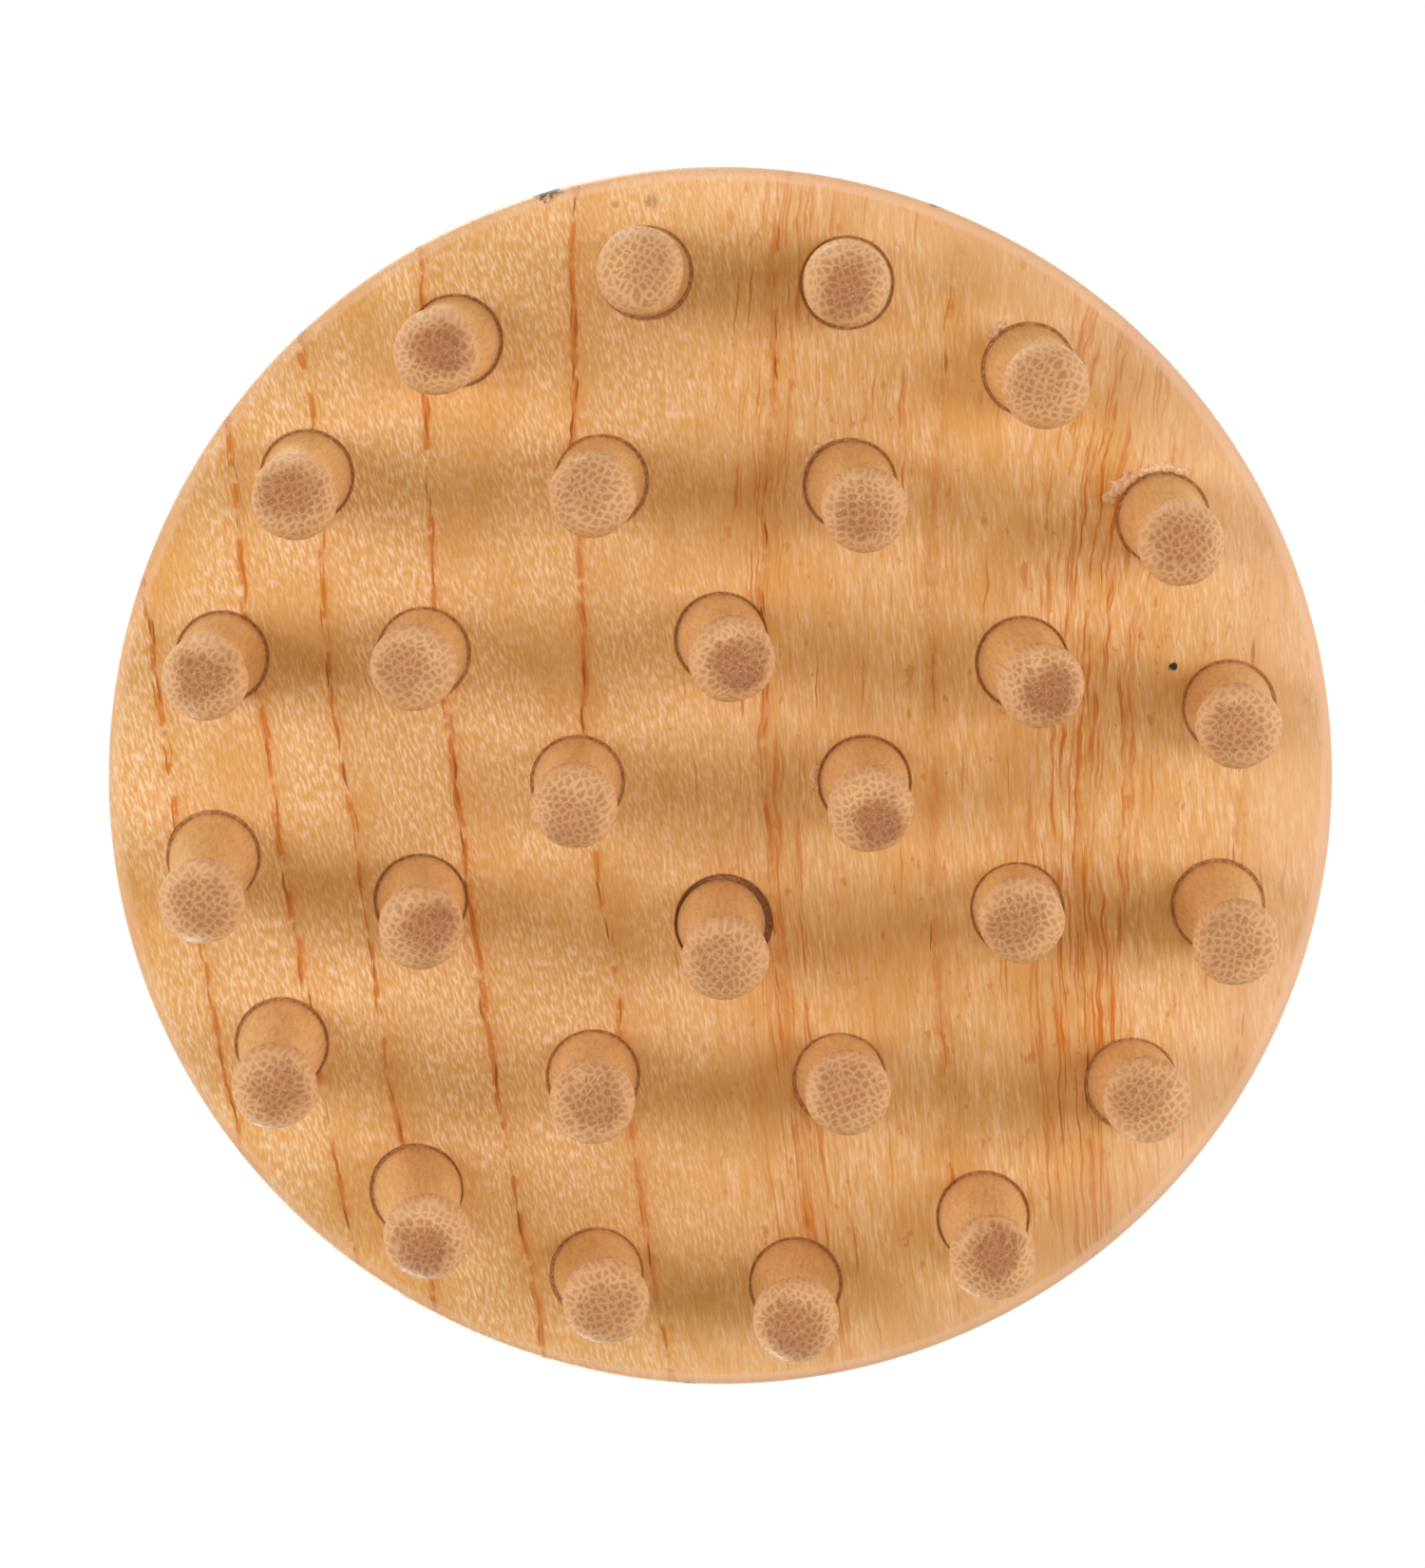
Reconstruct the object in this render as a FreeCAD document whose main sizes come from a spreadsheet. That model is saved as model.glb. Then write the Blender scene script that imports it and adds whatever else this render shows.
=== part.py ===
"""Scalp massager: a turned wooden disc with three rings of bamboo pegs and a walnut knob.

The disc is a shallow dome, flat underneath. Twenty-eight pegs with ball tips are glued into blind
holes in the flat face, on three rings. A walnut knob is held on the crown by a wooden dowel.
Frame: +Z up, the axis of the disc on Z, the ball tips standing on z = 0. Millimetres and degrees.
"""

import FreeCAD, Part
import math
import os

import Sketcher
from FreeCAD import Placement, Rotation, Vector

# Driving dimensions, as (alias, value, what it is).
SIZES = [
    ("disc_radius", 50.0, "disc, widest"),
    ("disc_height", 21.8, "disc, flat face to knob seat"),
    ("seat_radius", 10.0, "flat seat under the knob"),
    ("crown_arc", 143.0, "arc across the top of the dome"),
    ("shoulder_arc", 24.5, "arc of the dome's shoulder"),
    ("wall_arc", 7.5, "arc of the dome's side"),
    ("rim_height", 1.8, "top of the upright rim"),
    ("edge_arc", 1.0, "rounding of the edge of the flat face"),
    ("outer_ring", 41.9, "radius of the ring of outer pegs"),
    ("middle_ring", 26.4, "radius of the ring of middle pegs"),
    ("inner_ring", 11.7, "radius of the ring of inner pegs"),
    ("outer_count", 16, "pegs on the outer ring"),
    ("middle_count", 8, "pegs on the middle ring"),
    ("inner_count", 4, "pegs on the inner ring"),
    ("outer_start", 81.6, "angle of the first outer peg"),
    ("middle_start", 68.4, "angle of the first middle peg"),
    ("inner_start", 90.0, "angle of the first inner peg"),
    ("hole_radius", 3.8, "peg hole"),
    ("hole_depth", 7.5, "peg hole"),
    ("peg_radius", 3.6, "peg at the face"),
    ("tenon_radius", 3.3, "peg at its end, inside the hole"),
    ("tenon_length", 6.5, "peg inside its hole"),
    ("pivot_depth", 1.5, "point in the hole, below the face, about which a peg leans"),
    ("tenon_chamfer", 0.5, "end of the peg inside its hole"),
    ("shank_length", 14.4, "peg from the face to its neck"),
    ("shank_arc", 120.0, "slight belly of the shank"),
    ("waist_radius", 1.95, "neck of the peg above its ball"),
    ("ball_radius", 3.45, "ball tip"),
    ("ball_drop", 17.3, "ball centre below the face"),
    ("knob_height", 31.0, "knob"),
    ("foot_radius", 8.8, "flat foot of the knob"),
    ("bead_height", 2.1, "bead round the foot of the knob"),
    ("bead_arc", 1.35, "roundness of the bead"),
    ("groove_radius", 8.35, "bottom of the groove above the bead"),
    ("groove_height", 2.3, "groove above the bead"),
    ("collar_radius", 8.55, "knob just above the groove"),
    ("collar_height", 2.6, "knob just above the groove"),
    ("grip_radius", 7.65, "narrowest part of the knob"),
    ("grip_height", 9.1, "narrowest part of the knob"),
    ("grip_arc", 10.9, "hollow under the knob's head"),
    ("head_radius", 15.15, "widest part of the knob"),
    ("head_height", 23.0, "widest part of the knob"),
    ("head_arc", 6.5, "rounding of the head above its widest part"),
    ("dowel_radius", 4.0, "dowel pin"),
    ("dowel_length", 24.0, "dowel pin"),
    ("dowel_chamfer", 0.8, "ends of the dowel pin"),
    ("dowel_in_disc", 11.0, "length of the dowel pin in the disc"),
    ("socket_radius", 4.05, "dowel sockets in the disc and the knob"),
    ("socket_spare", 0.5, "socket depth beyond the dowel's end, for glue"),
]

# The pegs are set by hand, so each one leans a little: degrees towards +X and towards +Y, in the
# order in which they stand round their ring, counter-clockwise as seen from below.
LEANS = {
    "outer": [
        (0.5, -1.5), (-2, 1), (-1, 1.5), (2.5, -1.5), (3, -1.5), (0, -3.5), (-1.5, -1), (0, -1.5),
        (-4.5, 0), (-3, 0.5), (-3, 4), (2.5, 2.5), (0, -1), (-1.5, 0), (4, 0.5), (-2.5, 0.5),
    ],
    "middle": [(-0.5, 2), (-2, 2), (0.5, -2), (1.5, -1), (0, 1.5), (1.5, 0), (4.5, 0.5), (4, -1.5)],
    "inner": [(-1, 0), (0, 2), (0, -0.5), (-1.5, 0.5)],
}

START, END, CENTRE = 1, 2, 3
ORIGIN = (-1, 1)
X_AXIS, Y_AXIS = -1, -2
FULL_TURN = 360

doc = FreeCAD.newDocument("scalp_massager")
sheet = doc.addObject("Spreadsheet::Sheet", "sizes")


def fill_sheet():
    """Writes the driving dimensions into the spreadsheet, one to a row, each with its alias."""
    for row, (alias, value, note) in enumerate(SIZES, start=1):
        sheet.set(f"A{row}", alias)
        sheet.set(f"B{row}", str(value))
        sheet.setAlias(f"B{row}", alias)
        sheet.set(f"C{row}", note)
    doc.recompute()


def size(alias):
    return float(sheet.get(alias))


class Profile:
    """A half section in a body's XZ plane: x is the radius and y the height along the axis."""

    def __init__(self, body, name):
        self.sketch = body.newObject("Sketcher::SketchObject", name)
        self.sketch.AttachmentSupport = [(origin_plane(body, "XZ_Plane"), "")]
        self.sketch.MapMode = "FlatFace"

    def line(self, start, end):
        return self.sketch.addGeometry(
            Part.LineSegment(Vector(*start, 0), Vector(*end, 0)), False
        )

    def arc(self, centre, radius, first, last):
        """An arc that runs counter-clockwise from the angle first to the angle last, in degrees."""
        circle = Part.Circle(Vector(*centre, 0), Vector(0, 0, 1), radius)
        return self.sketch.addGeometry(
            Part.ArcOfCircle(circle, math.radians(first), math.radians(last)), False
        )

    def join(self, first, first_end, second, second_end):
        self.add("Coincident", first, first_end, second, second_end)

    def smooth(self, first, first_end, second, second_end):
        self.add("Tangent", first, first_end, second, second_end)

    def add(self, kind, *values):
        return self.sketch.addConstraint(Sketcher.Constraint(kind, *values))

    def drive(self, kind, *values, by):
        """Adds a dimension and binds it to an expression on the spreadsheet."""
        index = self.add(kind, *values)
        name = f"dimension_{index}"
        self.sketch.renameConstraint(index, name)
        self.sketch.setExpression(f"Constraints.{name}", by)

    def radius(self, arc, alias):
        self.drive("Radius", arc, size(alias), by=f"sizes.{alias}")

    def across(self, shape, point, value, by):
        self.drive("DistanceX", *ORIGIN, shape, point, value, by=by)

    def up(self, shape, point, value, by):
        self.drive("DistanceY", *ORIGIN, shape, point, value, by=by)

    def at(self, shape, point, across, up):
        """Puts a point at the radius and height that two aliases name."""
        self.across(shape, point, size(across), f"sizes.{across}")
        self.up(shape, point, size(up), f"sizes.{up}")

    def on_axis(self, shape, point):
        self.add("PointOnObject", shape, point, Y_AXIS)

    def on_base(self, shape, point):
        self.add("PointOnObject", shape, point, X_AXIS)


def origin_plane(body, role):
    return next(f for f in body.Origin.OriginFeatures if f.Role == role)


def new_body(name):
    body = doc.addObject("PartDesign::Body", name)
    body.Label = name
    return body


def revolve(body, profile):
    """Turns a half section a full turn about the sketch's vertical axis."""
    turned = body.newObject("PartDesign::Revolution", body.Name + "_turned")
    turned.Profile = profile.sketch
    turned.ReferenceAxis = (profile.sketch, ["V_Axis"])
    turned.Angle = FULL_TURN
    profile.sketch.Visibility = False
    doc.recompute()
    return turned


def blind_hole(body, name, centre, radius, depth, height="0", upwards=False):
    """Cuts a round blind hole along Z. centre is (ring, start) for a hole on a ring, or None.

    radius, depth and height are expressions on the spreadsheet. The hole starts at that height.
    """
    sketch = body.newObject("Sketcher::SketchObject", name + "_circle")
    sketch.AttachmentSupport = [(origin_plane(body, "XY_Plane"), "")]
    sketch.MapMode = "FlatFace"
    sketch.setExpression("AttachmentOffset.Base.z", height)
    place = Vector(0, 0, 0)
    if centre:
        ring, start = (size(alias) for alias in centre)
        place = Rotation(Vector(0, 0, 1), start).multVec(Vector(ring, 0, 0))
    circle = sketch.addGeometry(Part.Circle(place, Vector(0, 0, 1), 1.0), False)

    def drive(kind, *values, by):
        index = sketch.addConstraint(Sketcher.Constraint(kind, *values))
        sketch.renameConstraint(index, f"dimension_{index}")
        sketch.setExpression(f"Constraints.dimension_{index}", by)

    drive("Radius", circle, 1.0, by=radius)
    if centre:
        spoke = sketch.addGeometry(Part.LineSegment(Vector(0, 0, 0), place), True)
        sketch.addConstraint(Sketcher.Constraint("Coincident", spoke, START, *ORIGIN))
        sketch.addConstraint(
            Sketcher.Constraint("Coincident", spoke, END, circle, CENTRE)
        )
        drive("Distance", spoke, ring, by=f"sizes.{centre[0]}")
        drive("Angle", spoke, math.radians(start), by=f"sizes.{centre[1]}")
    else:
        sketch.addConstraint(Sketcher.Constraint("Coincident", circle, CENTRE, *ORIGIN))
    doc.recompute()
    before = body.Shape.Volume
    pocket = body.newObject("PartDesign::Pocket", name)
    pocket.Profile = sketch
    pocket.setExpression("Length", depth)
    pocket.Reversed = upwards
    sketch.Visibility = False
    doc.recompute()
    if body.Shape.Volume >= before:
        raise RuntimeError(f"{name} cut nothing")
    return pocket


def repeat_round(body, pocket, ring):
    """Repeats a hole evenly round its ring."""
    before = body.Shape.Volume
    pattern = body.newObject("PartDesign::PolarPattern", ring + "_holes")
    pattern.Originals = [pocket]
    pattern.Axis = (pocket.Profile[0], ["N_Axis"])
    pattern.Angle = FULL_TURN
    pattern.setExpression("Occurrences", f"sizes.{ring}_count")
    body.Tip = pattern
    doc.recompute()
    if body.Shape.Volume >= before:
        raise RuntimeError(f"the pattern of {ring} holes cut nothing")


def tangent_inside(big_centre, big, small_centre, small, between):
    """Centre of the arc of radius between that joins a big arc smoothly to a smaller one."""
    gap = small_centre - big_centre
    to_big, to_small = big - between, between - small
    along = (to_big**2 - to_small**2 + gap.Length**2) / (2 * gap.Length)
    across = math.sqrt(to_big**2 - along**2)
    way = Vector(gap).normalize()
    return big_centre + way * along + Vector(-way.y, way.x, 0) * across


def angle_of(start, end):
    """The direction from start to end, in degrees."""
    return math.degrees(math.atan2(end.y - start.y, end.x - start.x))


def make_disc():
    """The turned disc, with its peg holes and the socket for the knob's dowel."""
    body = new_body("disc")
    outline = Profile(body, "disc_outline")
    top, radius, seat = size("disc_height"), size("disc_radius"), size("seat_radius")
    crown_arc, shoulder_arc, wall_arc, edge_arc = (
        size(a) for a in ("crown_arc", "shoulder_arc", "wall_arc", "edge_arc")
    )
    crown_centre = Vector(0, top - math.sqrt(crown_arc**2 - seat**2), 0)
    rim = size("rim_height")
    wall_centre = Vector(radius - wall_arc, rim, 0)
    shoulder_centre = tangent_inside(
        crown_centre, crown_arc, wall_centre, wall_arc, shoulder_arc
    )
    crown_ends = angle_of(crown_centre, shoulder_centre)
    wall_begins = angle_of(shoulder_centre, wall_centre)
    seat_angle = math.degrees(math.acos(seat / crown_arc))

    face = outline.line((0, 0), (radius - edge_arc, 0))
    edge = outline.arc((radius - edge_arc, edge_arc), edge_arc, -90, 0)
    side = outline.line((radius, edge_arc), (radius, rim))
    wall = outline.arc(wall_centre[:2], wall_arc, 0, wall_begins)
    shoulder = outline.arc(shoulder_centre[:2], shoulder_arc, wall_begins, crown_ends)
    crown = outline.arc(crown_centre[:2], crown_arc, crown_ends, seat_angle)
    flat = outline.line((seat, top), (0, top))
    axis = outline.line((0, top), (0, 0))

    outline.add("Coincident", face, START, *ORIGIN)
    outline.on_base(face, END)
    outline.smooth(face, END, edge, START)
    outline.smooth(edge, END, side, START)
    outline.smooth(side, END, wall, START)
    outline.smooth(wall, END, shoulder, START)
    outline.smooth(shoulder, END, crown, START)
    outline.join(crown, END, flat, START)
    outline.join(flat, END, axis, START)
    outline.join(axis, END, face, START)
    outline.add("Horizontal", flat)
    outline.on_axis(axis, START)
    outline.on_axis(crown, CENTRE)
    outline.radius(edge, "edge_arc")
    outline.radius(wall, "wall_arc")
    outline.radius(shoulder, "shoulder_arc")
    outline.radius(crown, "crown_arc")
    outline.at(wall, START, "disc_radius", "rim_height")
    outline.up(edge, END, edge_arc, "sizes.edge_arc")
    outline.at(crown, END, "seat_radius", "disc_height")
    revolve(body, outline)

    for ring in LEANS:
        first = blind_hole(
            body, ring + "_hole", (ring + "_ring", ring + "_start"),
            "sizes.hole_radius", "sizes.hole_depth", upwards=True,
        )
        repeat_round(body, first, ring)
    blind_hole(
        body, "dowel_socket", None, "sizes.socket_radius",
        "sizes.dowel_in_disc + sizes.socket_spare", height="sizes.disc_height",
    )
    body.setExpression("Placement.Base.z", "sizes.ball_drop + sizes.ball_radius")
    return body


def make_peg(name, hole_angle, ring_radius, lean):
    """A bamboo peg: a tenon, a tapering shank, a neck and a ball, leaning a little in its hole.

    Its own frame has the face of the disc at z = 0 and the ball below. The peg pivots on a point
    just inside its hole, which stays on the hole's axis, and its ball touches the table.
    """
    body = new_body(name)
    outline = Profile(body, name + "_outline")
    radius, end_radius, tenon = size("peg_radius"), size("tenon_radius"), size("tenon_length")
    chamfer = size("tenon_chamfer")
    shank, waist = size("shank_length"), size("waist_radius")
    ball, drop, belly = size("ball_radius"), size("ball_drop"), size("shank_arc")
    face_corner, waist_corner = Vector(radius, 0, 0), Vector(waist, -shank, 0)
    chord = face_corner - waist_corner
    inward = Vector(-chord.y, chord.x, 0).normalize()
    from_chord = math.sqrt(belly**2 - (chord.Length / 2) ** 2)
    shank_centre = (face_corner + waist_corner) / 2 + inward * from_chord
    ball_centre = Vector(0, -drop, 0)

    bottom_to_waist = outline.arc(
        ball_centre[:2], ball, -90, math.degrees(math.acos(waist / ball))
    )
    side = outline.arc(
        shank_centre[:2], belly,
        angle_of(shank_centre, waist_corner), angle_of(shank_centre, face_corner),
    )
    tenon_side = outline.line((radius, 0), (end_radius, tenon - chamfer))
    slope = outline.line((end_radius, tenon - chamfer), (end_radius - chamfer, tenon))
    end_face = outline.line((end_radius - chamfer, tenon), (0, tenon))
    axis = outline.line((0, tenon), (0, -drop - ball))

    outline.join(bottom_to_waist, END, side, START)
    outline.join(side, END, tenon_side, START)
    outline.join(tenon_side, END, slope, START)
    outline.join(slope, END, end_face, START)
    outline.join(end_face, END, axis, START)
    outline.join(axis, END, bottom_to_waist, START)
    outline.on_axis(axis, START)
    outline.on_axis(axis, END)
    outline.on_axis(bottom_to_waist, CENTRE)
    outline.add("Horizontal", end_face)
    outline.radius(bottom_to_waist, "ball_radius")
    outline.radius(side, "shank_arc")
    outline.drive(
        "DistanceY", bottom_to_waist, CENTRE, *ORIGIN, drop, by="sizes.ball_drop"
    )
    outline.across(side, START, waist, "sizes.waist_radius")
    outline.on_base(tenon_side, START)
    outline.across(tenon_side, START, radius, "sizes.peg_radius")
    outline.up(end_face, END, tenon, "sizes.tenon_length")
    outline.across(tenon_side, END, end_radius, "sizes.tenon_radius")
    outline.up(tenon_side, END, tenon - chamfer, "sizes.tenon_length - sizes.tenon_chamfer")
    outline.across(
        end_face, START, end_radius - chamfer, "sizes.tenon_radius - sizes.tenon_chamfer"
    )
    revolve(body, outline)

    towards_x, towards_y = lean
    turn = Rotation(Vector(0, 1, 0), -towards_x) * Rotation(Vector(1, 0, 0), towards_y)
    hole = Rotation(Vector(0, 0, 1), hole_angle).multVec(Vector(ring_radius, 0, 0))
    pivot = turn.multVec(Vector(0, 0, size("pivot_depth")))
    ball_at = turn.multVec(Vector(0, 0, -drop))
    place = Vector(hole.x - pivot.x, hole.y - pivot.y, ball - ball_at.z)
    body.Placement = Placement(place, turn)
    return body


def make_pegs():
    """All the pegs, ring by ring."""
    pegs = []
    for ring, leans in LEANS.items():
        step = FULL_TURN / size(ring + "_count")
        for number, lean in enumerate(leans):
            angle = size(ring + "_start") - step * number
            name = f"peg_{ring}_{number + 1:02d}"
            pegs.append(make_peg(name, angle, size(ring + "_ring"), lean))
    return pegs


def make_knob():
    """The walnut knob: a beaded foot, a hollow grip and a mushroom head."""
    body = new_body("knob")
    outline = Profile(body, "knob_outline")
    top, foot, bead = size("knob_height"), size("foot_radius"), size("bead_height")
    groove = Vector(size("groove_radius"), size("groove_height"), 0)
    collar = Vector(size("collar_radius"), size("collar_height"), 0)
    grip = Vector(size("grip_radius"), size("grip_height"), 0)
    head = Vector(size("head_radius"), size("head_height"), 0)
    bead_arc, grip_arc, head_arc = size("bead_arc"), size("grip_arc"), size("head_arc")

    bead_half = bead / 2
    bead_centre = Vector(foot - math.sqrt(bead_arc**2 - bead_half**2), bead_half, 0)
    bead_angle = math.degrees(math.asin(bead_half / bead_arc))
    # The lower hollow passes through the collar and is upright at the grip.
    rise, run = grip.y - collar.y, collar.x - grip.x
    low_arc = (rise**2 + run**2) / (2 * run)
    low_centre = grip + Vector(low_arc, 0, 0)
    # The upper hollow is upright at the grip and runs smoothly into the underside of the head.
    high_centre = grip + Vector(grip_arc, 0, 0)
    lift, out = head.y - grip.y, high_centre.x - head.x
    under_arc = (lift**2 + out**2 - grip_arc**2) / (2 * (grip_arc - out))
    under_centre = head - Vector(under_arc, 0, 0)
    turn_under = angle_of(under_centre, high_centre)
    # The crown is an arc about the axis that touches the rounding of the head.
    over_centre = head - Vector(head_arc, 0, 0)
    above = top - head.y
    crown_arc = (over_centre.x**2 + above**2 - head_arc**2) / (2 * (above - head_arc))
    crown_centre = Vector(0, top - crown_arc, 0)
    crown_ends = angle_of(crown_centre, over_centre)

    base = outline.line((0, 0), (foot, 0))
    ring = outline.arc(bead_centre[:2], bead_arc, -bead_angle, bead_angle)
    cut = outline.line((foot, bead), groove[:2])
    step = outline.line(groove[:2], collar[:2])
    low = outline.arc(low_centre[:2], low_arc, 180, angle_of(low_centre, collar) + FULL_TURN)
    high = outline.arc(high_centre[:2], grip_arc, turn_under + 180, 180)
    under = outline.arc(under_centre[:2], under_arc, turn_under, 0)
    over = outline.arc(over_centre[:2], head_arc, 0, crown_ends)
    crown = outline.arc(crown_centre[:2], crown_arc, crown_ends, 90)
    axis = outline.line((0, top), (0, 0))

    outline.add("Coincident", base, START, *ORIGIN)
    outline.on_base(base, END)
    outline.join(base, END, ring, START)
    outline.join(ring, END, cut, START)
    outline.join(cut, END, step, START)
    outline.join(step, END, low, END)
    outline.smooth(low, START, high, END)
    outline.smooth(high, START, under, START)
    outline.smooth(under, END, over, START)
    outline.smooth(over, END, crown, START)
    outline.join(crown, END, axis, START)
    outline.join(axis, END, base, START)
    outline.on_axis(axis, START)
    outline.on_axis(crown, CENTRE)
    outline.across(base, END, foot, "sizes.foot_radius")
    outline.at(ring, END, "foot_radius", "bead_height")
    outline.radius(ring, "bead_arc")
    outline.at(cut, END, "groove_radius", "groove_height")
    outline.at(low, END, "collar_radius", "collar_height")
    outline.at(low, START, "grip_radius", "grip_height")
    outline.up(low, CENTRE, grip.y, "sizes.grip_height")
    outline.radius(high, "grip_arc")
    outline.at(under, END, "head_radius", "head_height")
    outline.up(over, CENTRE, head.y, "sizes.head_height")
    outline.radius(over, "head_arc")
    outline.up(axis, START, top, "sizes.knob_height")
    revolve(body, outline)

    blind_hole(
        body, "knob_socket", None, "sizes.socket_radius",
        "sizes.dowel_length - sizes.dowel_in_disc + sizes.socket_spare", upwards=True,
    )
    body.setExpression(
        "Placement.Base.z", "sizes.ball_drop + sizes.ball_radius + sizes.disc_height"
    )
    return body


def make_dowel():
    """The dowel pin, chamfered at both ends, half in the disc and half in the knob."""
    body = new_body("knob_dowel")
    outline = Profile(body, "knob_dowel_outline")
    radius, length, chamfer = (
        size(a) for a in ("dowel_radius", "dowel_length", "dowel_chamfer")
    )
    low_end = outline.line((0, 0), (radius - chamfer, 0))
    low_slope = outline.line((radius - chamfer, 0), (radius, chamfer))
    side = outline.line((radius, chamfer), (radius, length - chamfer))
    high_slope = outline.line((radius, length - chamfer), (radius - chamfer, length))
    high_end = outline.line((radius - chamfer, length), (0, length))
    axis = outline.line((0, length), (0, 0))
    edges = [low_end, low_slope, side, high_slope, high_end, axis]
    for first, second in zip(edges, edges[1:] + edges[:1]):
        outline.join(first, END, second, START)
    outline.add("Coincident", low_end, START, *ORIGIN)
    outline.on_base(low_end, END)
    outline.on_axis(axis, START)
    outline.add("Vertical", side)
    outline.add("Horizontal", high_end)
    outline.across(low_end, END, radius - chamfer, "sizes.dowel_radius - sizes.dowel_chamfer")
    outline.across(side, START, radius, "sizes.dowel_radius")
    outline.up(side, START, chamfer, "sizes.dowel_chamfer")
    outline.up(side, END, length - chamfer, "sizes.dowel_length - sizes.dowel_chamfer")
    outline.up(high_end, END, length, "sizes.dowel_length")
    outline.across(
        high_end, START, radius - chamfer, "sizes.dowel_radius - sizes.dowel_chamfer"
    )
    revolve(body, outline)
    body.setExpression(
        "Placement.Base.z",
        "sizes.ball_drop + sizes.ball_radius + sizes.disc_height - sizes.dowel_in_disc",
    )
    return body


def check(bodies):
    """Stops if any object of the document failed, or any piece isn't one valid solid."""
    for item in doc.Objects:
        if {"Invalid", "Error"} & set(item.State):
            raise RuntimeError(f"{item.Name} failed: {item.State}")
    for body in bodies:
        shape = body.Shape
        if shape.isNull() or not shape.isValid() or len(shape.Solids) != 1:
            raise RuntimeError(f"{body.Label} isn't one valid solid")


def export(bodies):
    os.makedirs("parts", exist_ok=True)
    for body in bodies:
        body.Shape.exportStep(f"parts/{body.Label}.step")


fill_sheet()
pieces = [make_disc(), make_knob(), make_dowel(), *make_pegs()]
doc.recompute()
check(pieces)
export(pieces)
for piece in pieces:
    box = piece.Shape.optimalBoundingBox()
    print(
        f"{piece.Label}: {piece.Shape.Volume:.0f} mm3,"
        f" z {box.ZMin:.3f} to {box.ZMax:.3f}, {box.XLength:.2f} by {box.YLength:.2f}"
    )
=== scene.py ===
"""A scalp massager: a domed disc of pale wood on bamboo pegs, with a walnut knob to hold it by.

The pieces are turned, drilled and set as in the workshop. The disc stands on the ball tips of its
pegs, which touch z = 0, with the axis of the disc and the knob on Z. Lengths are in metres.
"""

import math
import random

import bpy
import numpy as np
from mathutils import Matrix, Vector


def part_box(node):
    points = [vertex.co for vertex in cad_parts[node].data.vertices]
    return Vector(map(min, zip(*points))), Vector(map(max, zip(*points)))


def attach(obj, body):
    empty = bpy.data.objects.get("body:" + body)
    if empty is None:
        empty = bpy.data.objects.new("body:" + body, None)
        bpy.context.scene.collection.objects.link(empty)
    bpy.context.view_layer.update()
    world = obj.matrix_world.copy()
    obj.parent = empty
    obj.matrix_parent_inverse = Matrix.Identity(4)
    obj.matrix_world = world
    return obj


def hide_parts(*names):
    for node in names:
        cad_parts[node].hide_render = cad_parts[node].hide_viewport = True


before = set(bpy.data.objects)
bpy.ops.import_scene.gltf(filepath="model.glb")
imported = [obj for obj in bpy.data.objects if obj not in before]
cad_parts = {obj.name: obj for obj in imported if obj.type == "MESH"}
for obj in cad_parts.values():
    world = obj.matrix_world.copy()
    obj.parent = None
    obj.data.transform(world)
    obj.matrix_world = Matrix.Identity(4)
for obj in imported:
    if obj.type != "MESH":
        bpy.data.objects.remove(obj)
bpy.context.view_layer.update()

bl_info = {
    "name": "Scalp Massager",
    "version": (1, 0, 0),
    "blender": (4, 5, 0),
    "location": "View3D > Sidebar > Massager",
    "description": "Turns and finishes the pieces of a wooden scalp massager",
    "category": "Object",
}

MM = 0.001
FULL_TURN = math.tau
BODY = "root"
PEG_NODES = sorted(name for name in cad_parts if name.startswith("peg_"))

DISC_LOW, DISC_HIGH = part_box("disc")
KNOB_LOW, KNOB_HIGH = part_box("knob")
FACE = DISC_LOW.z
CROWN = DISC_HIGH.z

# How finely each piece is turned, and how close the points are that become one.
DISC_SIDES, HOLE_SIDES, PEG_SIDES, KNOB_SIDES = 256, 48, 40, 128
BEAD_SIDES, BEAD_STEPS = 12, 32
MERGE = 0.001 * MM

# Edges that turn by more than this stay crisp.
CREASE, KNOB_CREASE, CRUMB_CREASE = (math.radians(degrees) for degrees in (35, 28, 60))

# A ball's points below the cap are fitted with a sphere, and those at its foot are left unworn.
BALL_CAP = 2 * MM
BALL_FOOT = 0.6 * MM

# The size of the lumps that hand work leaves on a peg, and of the crumbs in squeezed-out glue.
LUMP_GRAIN = 3.4 * MM
CRUMB_GRAIN = 0.7 * MM

# A leaning peg crosses its hole's axis this deep.
PIVOT_DEPTH = 1.5 * MM

# One hole is a little too wide, and off its peg's axis, and its glue has sunk.
WIDE_HOLE = "peg_inner_04"
WIDE_HOLE_SCALE = 1.05
WIDE_HOLE_OFFSET = (0.10 * MM, 0.20 * MM, 0)
WIDE_HOLE_SUNK = 0.8 * MM

# The least and most that glue sinks into a hole as it sets, in millimetres.
GLUE_SUNK = (0.03, 0.25)

# How far apart the pegs are cut from the bamboo, in millimetres, so that no two look the same.
BATCH_SPREAD = 60

# Glue left on the face: node, first and last angle in degrees, and, in millimetres, its distance
# from the hole's axis and its thickness.
GLUE_BEADS = (
    ("peg_outer_02", -62, 30, 4.15, 0.42),
    ("peg_outer_02", -78, -38, 4.65, 0.50),
    ("peg_outer_03", -52, -26, 4.2, 0.42),
    ("peg_middle_02", -75, -20, 4.05, 0.22),
    ("peg_inner_01", -100, -70, 4.1, 0.30),
)

# Where the growth lines cross the board, in millimetres, and the two whose pores lie loosely.
GROWTH_LINES = (-59.0, -50.0, -41.0, -34.0, -24.0, -12.0, 3.5, 17.0, 29.5, 42.0)
LOOSE_LINES = (3.5, 29.5)

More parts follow.
